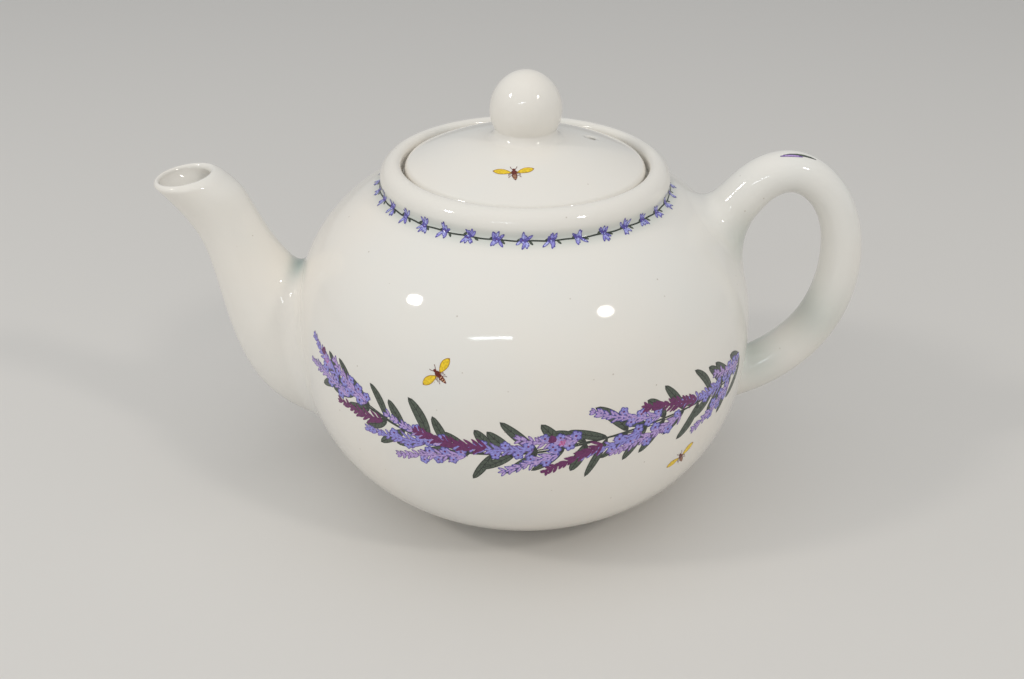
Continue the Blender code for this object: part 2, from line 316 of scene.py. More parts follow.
def oval_arc(centre, radii, start, stop, count):
    """Points (radius, level) on an oval, from start to stop degrees counted up from the +radius side."""
    turns = np.radians(np.linspace(start, stop, count))
    return list(zip(centre[0] + radii[0] * np.cos(turns), centre[1] + radii[1] * np.sin(turns)))


def softened(profile, softness, spacing=0.35 * MM, bend=math.radians(4), stride=2.4 * MM):
    """The profile with its corners melted round, as glaze does, and with only the points its curve needs.
    It starts and ends on the axis. softness(radius, level) is how far a corner there is rounded."""
    line = np.array(profile, float)
    mirror = line * (-1, 1)
    line = np.concatenate([mirror[::-1][:-1], line, mirror[::-1][1:]])
    along = gone_along(line)
    first, last = along[len(profile) - 1], along[2 * len(profile) - 2]
    at = np.arange(0, along[-1], spacing)
    fine = rows_at(at, along, line)
    melted = []
    for middle in np.linspace(first, last, int((last - first) / spacing)):
        reach = softness(*rows_at(middle, along, line))
        near = abs(at - middle) < 3 * reach + spacing
        weights = np.exp(-((at[near] - middle) ** 2) / (2 * reach**2))
        melted.append(weights @ fine[near] / weights.sum())
    melted[0][0] = melted[-1][0] = 0
    return thinned(np.array(melted), bend, stride)


def thinned(line, bend, stride):
    """The line's ends, and a point of it wherever it has turned by bend or gone on by stride."""
    kept = [0]
    headings = np.unwrap(np.arctan2(*np.diff(line, axis=0).T[::-1]))
    gone = gone_along(line)
    turned_by = 0.0
    for i in range(1, len(line) - 1):
        turned_by += abs(headings[i] - headings[i - 1])
        if turned_by >= bend or gone[i] - gone[kept[-1]] >= stride:
            kept.append(i)
            turned_by = 0.0
    return line[[*kept, len(line) - 1]]


class Spline:
    """A natural cubic curve through key rows, measured by the distance along their first two columns."""

    def __init__(self, keys):
        self.keys = np.array(keys, float)
        self.knots = gone_along(self.keys[:, :2])
        self.steps = np.diff(self.knots)
        self.length = self.knots[-1]
        slopes = np.diff(self.keys, axis=0) / self.steps[:, None]
        system = np.eye(len(self.keys))
        right = np.zeros_like(self.keys)
        for i in range(1, len(self.keys) - 1):
            before, after = self.steps[i - 1], self.steps[i]
            system[i, i - 1 : i + 2] = before, 2 * (before + after), after
            right[i] = 6 * (slopes[i] - slopes[i - 1])
        self.bend = np.linalg.solve(system, right)

    def at(self, distances):
        distances = np.asarray(distances, float)
        i = np.clip(np.searchsorted(self.knots, distances, side="right") - 1, 0, len(self.steps) - 1)
        h = self.steps[i][..., None]
        a = (distances - self.knots[i])[..., None]
        b = h - a
        curve = (self.bend[i] * b**3 + self.bend[i + 1] * a**3) / (6 * h)
        lead = (self.keys[i] / h - self.bend[i] * h / 6) * b
        return curve + lead + (self.keys[i + 1] / h - self.bend[i + 1] * h / 6) * a


def along_columns(columns, distances):
    """Points at these distances down each column. columns is rows x sides x 3, distances is count x sides."""
    gone = gone_along(columns)
    sides = range(columns.shape[1])
    return np.stack([rows_at(distances[:, i], gone[:, i], columns[:, i]) for i in sides], axis=1)


def crossing(columns, outwards):
    """How far down each column it crosses the belly: into it, or with outwards True, out of it. Five columns
    along the spout's underside end just short of it. They get row -1, so their crossing is at their end."""
    gauge = belly_gauge(columns)
    gone = gone_along(columns)
    rows = np.argmax(gauge >= 1 if outwards else gauge < 1, axis=0) - 1
    sides = np.arange(columns.shape[1])
    before, after = gauge[rows, sides], gauge[rows + 1, sides]
    share = (1 - before) / (after - before)
    return gone[rows, sides] + share * np.diff(gone, axis=0)[rows, sides]


def fillet_rings(columns, meets, widths, away, count):
    """Rings that carry each column from the tube on to the belly, ending level with its glaze.
    meets is how far down each column it crosses the belly, and away is -1 where the tube lies before it."""
    corner = along_columns(columns, meets[None])[0]
    start = along_columns(columns, (meets + away * widths)[None])[0]
    round_joint = np.roll(corner, -1, axis=0) - np.roll(corner, 1, axis=0)
    outward = unit(np.cross(round_joint, belly_normals(corner)))
    middle = corner.mean(axis=0)
    if np.sum(outward * (corner - middle)) < 0:
        outward = -outward
    end = on_belly(corner + outward * widths[:, None], -SUNK)
    back = corner - end
    reach = np.linalg.norm(back, axis=1, keepdims=True)
    normals = belly_normals(end)
    back = unit(back - normals * np.sum(back * normals, axis=1, keepdims=True))
    near = start + (corner - start) * FILLET_PULL
    far = end + back * reach * FILLET_PULL
    return np.array([bezier(start, near, far, end, t) for t in np.linspace(0, 1, count)])


def fillet_widths(sizes, turns):
    """Widths round a joint: sizes are for turn 0, for the flanks and for half a turn."""
    near, flank, far = sizes
    side = np.sin(turns) ** 2
    ends = np.where(np.cos(turns) > 0, near, far)
    return side * flank + (1 - side) * ends


# ---- meshes

def glaze_pool_and_reflection(place):
    """How thick the glaze has run at a place, 0 to 1, with the painted reflection on the handle's lower limb
    counted in.
    """
    tinted_share = 0.0
    for out, level, reach, most in POOLS_AND_PAINTED_REFLECTION:
        away = math.hypot(place.x - out, 0.6 * place.y, place.z - level)
        tinted_share = max(tinted_share, most * math.exp(-((away / reach) ** 2)))
    crease = math.hypot(math.hypot(place.x, place.y) - RIM_RADIUS, place.z - RIM_FOOT_LEVEL)
    return max(tinted_share, CREASE_POOL[1] * math.exp(-((crease / CREASE_POOL[0]) ** 2)))


def add_object(name, data):
    """A new object in the scene with this mesh, light or camera."""
    added = bpy.data.objects.new(name, data)
    bpy.context.scene.collection.objects.link(added)
    return added


def new_mesh(name, points, faces, materials):
    """A mesh of these points, given from the axis, and faces."""
    mesh = bpy.data.meshes.new(name)
    mesh.from_pydata([tuple(point) for point in points], [], faces)
    mesh.transform(Matrix.Translation(AXIS))
    for material in materials:
        mesh.materials.append(material)
    return mesh


def ride_glazed(name, mesh, body):
    """A smooth-shaded piece riding on body."""
    mesh.shade_smooth()
    piece = add_object(name, mesh)
    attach(piece, body)
    return piece


def turn_faces_out(mesh):
    bm = bmesh.new()
    bm.from_mesh(mesh)
    bmesh.ops.recalc_face_normals(bm, faces=bm.faces)
    bm.to_mesh(mesh)
    bm.free()


def add_piece(name, points, faces, body, materials, choose=None):
    """A piece of these points and faces, riding on body. choose(place) picks the material of a face there."""
    mesh = new_mesh(name, points, faces, materials)
    turn_faces_out(mesh)
    if choose:
        for face in mesh.polygons:
            face.material_index = choose(face.center - AXIS)
    # Pooled glaze, and the painted reflection on the handle's lower limb, 0 to 1 at each point.
    pooled_and_reflected = mesh.attributes.new("pooled_and_reflected", "FLOAT", "POINT")
    pooled_and_reflected.data.foreach_set("value", [glaze_pool_and_reflection(vertex.co - AXIS) for vertex in mesh.vertices])
    piece = ride_glazed(name, mesh, body)
    mesh.set_sharp_from_angle(angle=SHARP_ANGLE)
    return piece


def between(rings):
    """Faces between rings of point numbers, each with the next."""
    faces = []
    for upper, lower in zip(rings, rings[1:]):
        for i in range(len(upper)):
            j = (i + 1) % len(upper)
            corners = dict.fromkeys((upper[i], upper[j], lower[j], lower[i]))
            faces.append(tuple(corners))
    return faces


def turned(profile, steps=TURN_STEPS):
    """Points and faces of a profile turned about the axis. Its ends are on the axis."""
    points, rings = [], []
    for radius, level in profile:
        if radius < ON_AXIS:
            rings.append([len(points)] * steps)
            points.append((0, 0, level))
            continue
        rings.append(list(range(len(points), len(points) + steps)))
        for turn in np.linspace(0, math.tau, steps, endpoint=False):
            points.append((radius * math.cos(turn), radius * math.sin(turn), level))
    return points, between(rings)


def skinned(rings, closed):
    """Points and faces through rings of equal size. closed joins the last ring to the first."""
    points = [point for ring in rings for point in ring]
    numbers = np.arange(len(points)).reshape(len(rings), -1).tolist()
    return points, between([*numbers, numbers[0]] if closed else numbers)


def drilled(piece, drills):
    """Cuts the drills out of the piece."""
    for drill in drills:
        boolean = piece.modifiers.new(drill.name, "BOOLEAN")
        boolean.operation = "DIFFERENCE"
        boolean.solver = "EXACT"
        boolean.object = drill
    bpy.context.view_layer.update()
    graph = bpy.context.evaluated_depsgraph_get()
    mesh = bpy.data.meshes.new_from_object(piece.evaluated_get(graph))
    piece.modifiers.clear()
    piece.data = mesh
    for drill in drills:
        bpy.data.objects.remove(drill, do_unlink=True)


def make_drill(name, profile, place, tilt, sides=DRILL_SIDES, turn=0.0):
    """A turned cutter tilted from upright towards turn. profile is (radius, height) pairs."""
    points, faces = turned([(0, profile[0][1]), *profile, (0, profile[-1][1])], sides)
    mesh = bpy.data.meshes.new(name)
    mesh.from_pydata(points, [], faces)
    turn_faces_out(mesh)
    drill = add_object(name, mesh)
    drill.rotation_euler = (0, tilt, turn)
    drill.location = AXIS + Vector(place)
    drill.hide_render = True
    return drill


# ---- the pot's pieces

def body_softness(radius, level):
    """How round the glaze leaves the clay's edges. The crease under the rim fills most."""
    crease = math.hypot(radius - RIM_RADIUS, level - RIM_FOOT_LEVEL)
    return GLAZE_ROUNDING + CREASE_ROUNDING * math.exp(-((crease / CREASE_REACH) ** 2))


def body_profile():
    """The hollow body's outline: up its inside, over the gallery and the rim, and down to the foot."""
    profile = [(0, FLOOR_LEVEL)]
    profile += belly_arc(FLOOR_LEVEL, NECK_FOOT_LEVEL, -WALL, 60)
    profile += [(NECK_RADIUS, GALLERY_LEVEL), (GALLERY_RADIUS, GALLERY_LEVEL)]
    inner_lip = RIM_CROWN_RADIUS - GALLERY_RADIUS
    profile += oval_arc((RIM_CROWN_RADIUS, RIM_TOP - GALLERY_LIP), (inner_lip, GALLERY_LIP), 180, 90, 9)
    outer_lip = RIM_RADIUS - RIM_CROWN_RADIUS
    profile += oval_arc((RIM_CROWN_RADIUS, RIM_TOP - RIM_SHOULDER), (outer_lip, RIM_SHOULDER), 90, 0, 14)[1:]
    profile += belly_arc(RIM_FOOT_LEVEL, FOOT_HEIGHT, 0, 90)
    profile += [(FOOT_RADIUS, FOOT_HEIGHT), (FOOT_RADIUS, 0), (FOOT_INNER_RADIUS, 0)]
    profile += [(FOOT_INNER_RADIUS - RECESS_HEIGHT / 2, RECESS_HEIGHT), (0, RECESS_HEIGHT)]
    return softened(profile, body_softness)


def body_finish(place):
    """The foot ring and the ledge that the lid rests on are wiped clean of glaze before firing."""
    radius = math.hypot(place.x, place.y)
    standing = place.z < 0.5 * MM and radius > FOOT_INNER_RADIUS - MM
    on_ledge = abs(place.z - GALLERY_LEVEL) < 0.5 * MM
    ledge = on_ledge and NECK_RADIUS + 0.8 * MM < radius < GALLERY_RADIUS - 0.8 * MM
    return 1 if standing or ledge else 0


def make_body(profile, glaze, bare):
    body = add_piece("pot_body_glazed", *turned(profile), "pot", [glaze, bare], body_finish)
    straight = [(STRAINER_RADIUS, -STRAINER_DRILL), (STRAINER_RADIUS, STRAINER_DRILL)]
    drills = []
    for row in range(-STRAINER_RINGS, STRAINER_RINGS + 1):
        in_row = 2 * STRAINER_RINGS + 1 - abs(row)
        level = STRAINER_LEVEL + row * STRAINER_PITCH * math.sqrt(3) / 2
        for i in range(in_row):
            across = (i - (in_row - 1) / 2) * STRAINER_PITCH
            place = (-BELLY_RADIUS, across, level)
            name = f"strainer_drill_{len(drills)}"
            drills.append(make_drill(name, straight, place, math.pi / 2, STRAINER_SIDES))
    drilled(body, drills)
    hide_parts("pot_body")


def spout_point(rows, turns, inset):
    """Points on the spout's sections, one row of points for each row of sections."""
    out, level, tilt, length, width = (rows[..., i] for i in range(5))
    along = (length * MM - inset) * np.cos(turns)
    across = (width * MM - inset) * np.sin(turns)
    x = -out * MM + along * np.cos(np.radians(tilt))
    z = level * MM + along * np.sin(np.radians(tilt))
    return np.stack([x, across, z], axis=-1)


def make_spout(glaze):
    """One skin: over the lip, down the outside to its skirt, inside the wall, and back up the throat."""
    line = Spline(SPOUT_SECTIONS)
    turns = np.linspace(0, math.tau, TUBE_SIDES, endpoint=False)
    depths = np.linspace(0, line.length, 260)[:, None]
    rows = line.at(depths[:, 0])[:, None]
    pot_side = ((1 + np.cos(turns)) / 2) ** LIP_SHARE
    lip_wall = LIP_WALL[1] + (LIP_WALL[0] - LIP_WALL[1]) * pot_side
    lip_rise = LIP_RISE[1] + (LIP_RISE[0] - LIP_RISE[1]) * pot_side
    opening = np.clip(depths * MM / LIP_BLEND, 0, 1)
    opening = opening * opening * (3 - 2 * opening)
    outer = spout_point(rows, turns, 0)
    inner = spout_point(rows, turns, lip_wall + (SPOUT_WALL - lip_wall) * opening)
    meets = crossing(outer, outwards=False)
    widths = fillet_widths(SPOUT_FILLET, turns)
    shares = np.linspace(0, 1, 64)[:, None]
    skin = along_columns(outer, shares * (meets - widths))
    skirt = fillet_rings(outer, meets, widths, -1, 16)[1:]
    inner_meets = crossing(inner, outwards=False)
    throat = along_columns(inner, shares[::2] * inner_meets)
    throat[-1] = on_belly(throat[-1], -BURIED)
    under = [on_belly(skirt[-1] * (1 - t) + throat[-1] * t, -BURIED) for t in np.linspace(0.03, 0.8, 6)]
    tilt = math.radians(SPOUT_SECTIONS[0][2])
    upwards = np.array((-math.sin(tilt), 0, math.cos(tilt)))
    lip = []
    for bend in np.linspace(math.pi, 0, 15)[1:-1]:
        lean = lip_rise * pot_side * math.sin(bend) * (1 + math.cos(bend)) / 2
        ring = spout_point(rows[0], turns, lip_wall * (1 - math.cos(bend)) / 2 + lean)
        lip.append(ring + upwards * (lip_rise * math.sin(bend))[:, None])
    rings = [*lip, *skin, *skirt, *under, *throat[::-1]]
    spout = add_piece("spout_glazed", *skinned(rings, closed=True), "pot", [glaze])
    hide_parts("spout")


def round_handle(middle, heading, size, turns):
    """Points round the handle's section, where its centre line passes middle with this heading."""
    outwards = size * np.cos(turns)
    x = middle[..., 0] - heading[..., 1] * outwards
    z = middle[..., 1] + heading[..., 0] * outwards
    return np.stack([x, size * HANDLE_FLATTENING * np.sin(turns), z], axis=-1)


def make_handle(glaze):
    """A tube along the centre line, between a skirt and a buried cap at each end."""
    line = Spline(HANDLE_LINE)
    rows = line.at(np.linspace(0, line.length, 420))[:, None]
    headings = unit(np.gradient(rows[..., :2], axis=0))
    turns = np.linspace(0, math.tau, TUBE_SIDES, endpoint=False)
    columns = round_handle(rows, headings, rows[..., 2], turns) * MM
    half = len(columns) // 2
    top = crossing(columns, outwards=True)
    foot = gone_along(columns)[half] + crossing(columns[half:], outwards=False)
    top_widths = fillet_widths(HANDLE_TOP_FILLET, turns)
    foot_widths = fillet_widths(HANDLE_FOOT_FILLET, turns)
    shares = np.linspace(0, 1, 130)[:, None]
    first, last = top + top_widths, foot - foot_widths
    skin = along_columns(columns, first + shares * (last - first))
    head_skirt = fillet_rings(columns, top, top_widths, 1, 16)[1:]
    foot_skirt = fillet_rings(columns, foot, foot_widths, -1, 12)[1:]
    head_cap, foot_cap = buried_cap(head_skirt[-1]), buried_cap(foot_skirt[-1])
    rings = [*head_cap[::-1], *head_skirt[::-1], *skin, *foot_skirt, *foot_cap]
    points, faces = skinned(rings, closed=False)
    sides = len(turns)
    faces += [tuple(range(sides)), tuple(range(len(points) - sides, len(points)))]
    handle = add_piece("handle_glazed", points, faces, "pot", [glaze])
    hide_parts("handle")


def buried_cap(ring):
    """Rings that close a skirt under the belly's glaze."""
    middle = ring.mean(axis=0)
    return [on_belly(ring * (1 - t) + middle * t, -BURIED) for t in (0.04, 0.4, 0.8)]


def dome_level(radius):
    return LID_EDGE_LEVEL + DOME_RISE * (1 - (radius / LID_RADIUS) ** 2)


def dome_line(start, stop, count, below=0.0):
    """Points (radius, level) along the dome from one radius to another, this far under it."""
    return [(radius, dome_level(radius) - below) for radius in np.linspace(start, stop, count)]


def make_lid(glaze, bare):
    under = dome_line(0, COLLAR_INNER_RADIUS, 14, LID_THICKNESS)
    profile = dome_line(0, LID_RADIUS - MM, 40)
    profile += [(LID_RADIUS, dome_level(LID_RADIUS) - MM), (LID_RADIUS, LID_SEAT), (COLLAR_RADIUS, LID_SEAT)]
    profile += [(COLLAR_RADIUS, COLLAR_FOOT), (COLLAR_INNER_RADIUS, COLLAR_FOOT), *under[::-1]]
    profile = softened(profile, lambda radius, level: LID_ROUNDING)
    lid = add_piece("lid_glazed", *turned(profile), "lid", [glaze, bare], lid_finish)
    level = dome_level(VENT_FROM_AXIS)
    place = (VENT_FROM_AXIS * math.cos(VENT_TURN), VENT_FROM_AXIS * math.sin(VENT_TURN), level)
    slope = math.atan((dome_level(VENT_FROM_AXIS - MM) - level) / MM)
    flare = [(VENT_RADIUS + VENT_FLARE * t**2, VENT_FLARE * (t - 1)) for t in np.linspace(0, 1, 7)]
    flare += [(VENT_RADIUS + 2 * VENT_FLARE, VENT_FLARE)]
    straight = [(VENT_RADIUS, -9 * MM), (VENT_RADIUS, 2 * MM)]
    bore = [(KNOB_BORE, -8 * MM), (KNOB_BORE, 8 * MM)]
    drills = [
        make_drill("vent_drill", straight, place, 0),
        make_drill("vent_flare", flare, place, slope, turn=VENT_TURN),
        make_drill("knob_drill", bore, (0, 0, dome_level(0)), 0),
    ]
    drilled(lid, drills)
    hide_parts("lid")


def lid_finish(place):
    """The lid's seat and the collar's lower edge are bare where they stood in the kiln."""
    radius = math.hypot(place.x, place.y)
    seat = place.z < LID_SEAT + 0.5 * MM and COLLAR_RADIUS + 0.6 * MM < radius < LID_RADIUS - 0.6 * MM
    edge = place.z < COLLAR_FOOT + 0.3 * MM
    return 1 if seat or edge else 0


def make_knob(glaze):
    """A hollow ball whose neck runs out on to the dome, open below over the hole in the lid."""
    rise = KNOB_TOP - KNOB_LEVEL
    dip = math.degrees(math.acos(KNOB_NECK_RADIUS / KNOB_RADIUS))
    outer = oval_arc((0, KNOB_LEVEL), (KNOB_RADIUS, rise), 90, 0, 24)
    outer += oval_arc((0, KNOB_LEVEL), (KNOB_RADIUS, KNOB_RADIUS), 0, -dip, 12)[1:]
    neck = np.array(outer[-1])
    spread = KNOB_NECK_RADIUS + KNOB_FILLET
    end = np.array((spread, dome_level(spread) - SUNK))
    corner = np.array((KNOB_NECK_RADIUS + 0.3 * MM, dome_level(KNOB_NECK_RADIUS)))
    slope = (dome_level(spread + MM) - dome_level(spread)) / MM
    near = neck + (corner - neck) * 0.7
    far = end - np.array((1, slope)) * KNOB_FILLET * FILLET_PULL
    fillet = [tuple(bezier(neck, near, far, end, t)) for t in np.linspace(0, 1, 14)[1:]]
    below = dome_line(spread - 0.3 * MM, KNOB_BORE, 4, BURIED)
    inner = KNOB_RADIUS - KNOB_WALL
    inner_dip = math.degrees(math.acos(KNOB_BORE / inner))
    hollow = oval_arc((0, KNOB_LEVEL), (inner, inner), -inner_dip, 0, 8)
    hollow += oval_arc((0, KNOB_LEVEL), (inner, rise - KNOB_WALL), 0, 90, 10)[1:]
    profile = [*outer, *fillet, *below, *hollow]
    knob = add_piece("knob_glazed", *turned(profile, TURN_STEPS // 2), "lid", [glaze])
    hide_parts("knob")


# ---- the printed decoration

class TurnedSkin:
    """Lays flat shapes on a turned surface: across is measured round it at its reference radius, and up along
    its profile from the reference point. The profile runs with the outside on its right."""

    def __init__(self, profile, reference):
        self.line = np.array(profile)
        self.along = gone_along(self.line)
        self.along -= self.along[reference]
        self.radius = self.line[reference, 0]
        headings = unit(np.gradient(self.line, self.along, axis=0))
        self.normals = np.stack([headings[:, 1], -headings[:, 0]], axis=1)

    def place(self, spots, above):
        radius, level = rows_at(spots[:, 1], self.along, self.line).T
        out, rise = rows_at(spots[:, 1], self.along, self.normals).T
        radius = radius + out * above
        turns = FRONT + spots[:, 0] / self.radius
        return np.stack([radius * np.cos(turns), radius * np.sin(turns), level + rise * above], axis=1)


class HandleSkin:
    """Lays flat shapes on the handle: across is along its centre line from a start, and up is round it."""

    def __init__(self, start):
        self.line = Spline(HANDLE_LINE)
        self.start = start

    def place(self, spots, above):
        at = self.start + spots[:, 0] / MM
        rows = self.line.at(at)
        headings = unit(self.line.at(at + 0.1)[:, :2] - rows[:, :2])
        size = rows[:, 2] * MM + above
        return round_handle(rows * MM, headings, size, spots[:, 1] / size)


class Sheet:
    """A printed transfer: strokes of ink laid on a skin, in millimetres from a spot on it, ink by ink."""

    def __init__(self, skin, spot=(0, 0), turn=0.0):
        self.skin = skin
        self.spot = np.array(spot, float)
        cosine, sine = math.cos(math.radians(turn)), math.sin(math.radians(turn))
        self.turning = np.array([(cosine, sine), (-sine, cosine)])
        self.strokes = {}

    def stroke(self, ink, path, widths):
        """A ribbon of ink along the path, this wide from its middle line to each side."""
        path = np.asarray(path, float)
        headings = np.gradient(path, axis=0)
        headings /= np.linalg.norm(headings, axis=1, keepdims=True) + TINY
        sideways = np.stack([-headings[:, 1], headings[:, 0]], axis=1)
        halves = np.maximum(np.broadcast_to(widths, len(path)), FINE_STROKE)[:, None]
        columns = [path + sideways * halves, path - sideways * halves]
        if halves.max() > BROAD_STROKE:
            columns.insert(1, path)
        spots = np.concatenate(columns) @ self.turning + self.spot
        points = self.skin.place(spots * MM, PRINT_LIFT + INKS[ink][1] * INK_STEP)
        count = len(path)
        faces = []
        for column in range(len(columns) - 1):
            left, right = column * count, (column + 1) * count
            faces += [(left + i, right + i, right + i + 1, left + i + 1) for i in range(count - 1)]
        self.strokes.setdefault(ink, []).append((points, faces))


def bow(base, tip, sag, count):
    """A path from base to tip whose middle is pushed to its left by sag times its length."""
    base, tip = np.array(base, float), np.array(tip, float)
    reach = tip - base
    middle = (base + tip) / 2 + np.array((-reach[1], reach[0])) * sag * 2
    t = np.linspace(0, 1, count)[:, None]
    return base * (1 - t) ** 2 + middle * 2 * t * (1 - t) + tip * t**2


def aimed(start, degrees, length):
    """The point this far from start, in a direction counted up from across."""
    turn = math.radians(degrees)
    return (start[0] + length * math.cos(turn), start[1] + length * math.sin(turn))


def heading_of(path, i):
    """Which way the path goes at its point i, in degrees."""
    step = path[min(i + 1, len(path) - 1)] - path[max(i - 1, 0)]
    return math.degrees(math.atan2(step[1], step[0]))


def draw_leaf(sheet, base, tip, sag, width):
    """A narrow blunt leaf: a dark outline, a paler blade, a midrib and a few veins."""
    path = bow(base, tip, sag, 14)
    t = np.linspace(0, 1, len(path))
    blade = width / 2 * np.sin(np.pi * t) ** 0.5
    sheet.stroke("leaf_dark", path, blade)
    sheet.stroke("leaf_grey", path[2:-1], np.maximum(blade - LEAF_EDGE, 0)[2:-1])
    sheet.stroke("leaf_line", path[1:-1], MIDRIB)
    for i in range(3, len(path) - 3, 2):
        for side in (-1, 1):
            vein = aimed(path[i], heading_of(path, i) + side * VEIN_TURN, blade[i] * VEIN_REACH)
            sheet.stroke("leaf_line", bow(path[i], vein, 0, 3), VEIN_WIDTHS)


def draw_stem(sheet, path, width):
    sheet.stroke("leaf_dark", path, np.linspace(width, width * 0.6, len(path)) / 2)


def draw_petal(sheet, start, degrees, length, width, dark, pale):
    """A rounded petal, bud or small leaf with a pale middle."""
    path = bow(start, aimed(start, degrees, length), 0, 6)
    t = np.linspace(0, 1, len(path))
    blade = width / 2 * np.sin(np.pi * (0.06 + 0.9 * t)) ** 0.6
    sheet.stroke(dark, path, blade)
    sheet.stroke(pale, path[1:-1], blade[1:-1] * PETAL_FILL)


def draw_floret(sheet, place, size, turn, dark="indigo", pale="periwinkle"):
    """An open flower of five rounded petals with a dark eye."""
    for i in range(5):
        draw_petal(sheet, place, turn + 72 * i, size, size * 0.95, dark, pale)
    eye = FLORET_EYE * size
    sheet.stroke("plum", bow(aimed(place, 0, -eye), aimed(place, 0, eye), 0, 3), eye)


def draw_spike(sheet, base, tip, sag, inks, florets, rng):
    """A lavender spike: pairs of small closed buds up a stem, with open florets among the lower ones."""
    dark, pale = inks
    path = bow(base, tip, sag, 44)
    length = np.linalg.norm(np.diff(path, axis=0), axis=1).sum()
    draw_stem(sheet, path, SPIKE_STEM)
    whorls = max(4, int(length / WHORL_PITCH))
    for whorl in range(whorls):
        share = (whorl + 0.6) / whorls
        i = int(share * (len(path) - 1))
        size = SPIKE_PLUMPNESS * (BUD_LENGTH - BUD_SHORTENING * share) * rng.uniform(0.8, 1.2)
        for side in (-1, 1):
            degrees = heading_of(path, i) + side * rng.uniform(*BUD_SPREAD)
            draw_petal(sheet, path[i], degrees, size, 0.85 * SPIKE_PLUMPNESS, dark, pale)
        degrees = heading_of(path, i) + rng.uniform(-10, 10)
        draw_petal(sheet, path[i], degrees, size, 0.8 * SPIKE_PLUMPNESS, dark, pale)
    for floret in range(florets):
        i = int((0.08 + 0.62 * floret / max(1, florets)) * len(path))
        side = 1 if floret % 2 else -1
        place = aimed(path[i], heading_of(path, i) + side * 80, rng.uniform(1.2, 2.0))
        draw_floret(sheet, place, rng.uniform(*FLORET_SIZES), rng.uniform(0, 72))


def draw_bud(sheet, base, tip):
    """A fat closed flower head: overlapping scales, magenta at its heart, over a green cup."""
    path = bow(base, tip, 0.04, 12)
    heading = heading_of(path, 6)
    for i, inks in BUD_SCALES:
        for side in (-1, 0, 1):
            draw_petal(sheet, path[i], heading + side * 24, 3.6 - 0.14 * i, 1.5, *inks)
    for side in (-1, 1):
        draw_petal(sheet, path[0], heading + side * 20, 2.6, 1.1, "leaf_dark", "leaf_grey")


def draw_bee(sheet):
    """A small winged insect seen from above, its head up."""
    for side in (-1, 1):
        wing = bow((side * 0.5, 0.4), (side * 6.4, 1.6), side * 0.05, 12)
        t = np.linspace(0, 1, 12)
        blade = 1.35 * np.sin(np.pi * t**1.25) ** 0.7
        sheet.stroke("ochre", wing, blade)
        sheet.stroke("yellow", wing[1:-1], np.maximum(blade - 0.22, 0)[1:-1])
        sheet.stroke("ochre", wing[1:-2], 0.09)
        sheet.stroke("ochre", bow(wing[4], wing[9] + (0, 0.5), 0, 4), 0.07)
        sheet.stroke("russet", bow((side * 0.3, 2.3), (side * 1.1, 3.7), side * -0.1, 5), 0.1)
        for level in (-0.6, 0.3, 1.0):
            sheet.stroke("russet", bow((side * 0.4, level), (side * 1.7, level - 1.3), side * 0.15, 5), 0.09)
    tail = bow((0, 0.4), (0, -3.1), 0, 10)
    sheet.stroke("russet", tail, 0.75 * np.sin(np.pi * np.linspace(0.25, 0.98, 10)) ** 0.8)
    for level in (-0.7, -1.5, -2.2):
        sheet.stroke("cream", bow((-0.45, level), (0.45, level), 0, 4), 0.13)
    sheet.stroke("russet", bow((0, 0.1), (0, 1.9), 0, 6), (0.3, 0.7, 0.85, 0.85, 0.65, 0.2))
    sheet.stroke("russet", bow((0, 1.7), (0, 2.7), 0, 5), (0.3, 0.5, 0.55, 0.45, 0.15))


def garland_stem(count):
    along = np.linspace(-GARLAND_SPAN / 2, GARLAND_SPAN / 2, count)
    sway = GARLAND_SWAY * np.sin(math.tau * along / GARLAND_WAVE)
    lift = GARLAND_LIFT * (2 * along / GARLAND_SPAN) ** 2
    return np.stack([GARLAND_CENTRE + along, GARLAND_LEVEL + lift + sway], axis=1)


def draw_garland(sheet, rng):
    """A generic garland of lavender: spikes take turns above and below the stem, over pairs of leaves."""
    path = garland_stem(120)
    draw_stem(sheet, path, STEM_WIDTHS[0])
    twist = TWIST_WIDTH * np.sin(np.linspace(0, GARLAND_TWISTS * math.tau, len(path)))
    draw_stem(sheet, path + np.stack([0 * twist, twist], axis=1), STEM_WIDTHS[1])
    for station in range(1, GARLAND_STATIONS + 1):
        i = int(station / GARLAND_STATIONS * (len(path) - 1))
        growing = heading_of(path, i) + 180
        for side in (-1, 1):
            lean = rng.uniform(*LEAF_LEANS)
            tip = aimed(path[i], growing + side * lean, rng.uniform(*LEAF_LENGTHS))
            draw_leaf(sheet, path[i], tip, side * rng.uniform(-0.03, 0.09), rng.uniform(*LEAF_WIDTHS))
        if station % BARE_STATIONS == 0:
            continue
        side = -1 if station % 2 else 1
        foot = aimed(path[i], growing + side * 60, rng.uniform(1.0, 3.0))
        tip = aimed(foot, growing + side * rng.uniform(*SPIKE_LEANS), rng.uniform(*SPIKE_LENGTHS))
        inks = SPIKE_INKS[station % len(SPIKE_INKS)]
        florets = 0 if inks[1] == "magenta" else rng.randint(2, 6)
        draw_spike(sheet, foot, tip, side * rng.uniform(-0.07, 0.03), inks, florets, rng)
    for share in BUD_SHARES:
        i = int(share * (len(path) - 1))
        draw_bud(sheet, path[i], aimed(path[i], heading_of(path, i) + 150, 10))


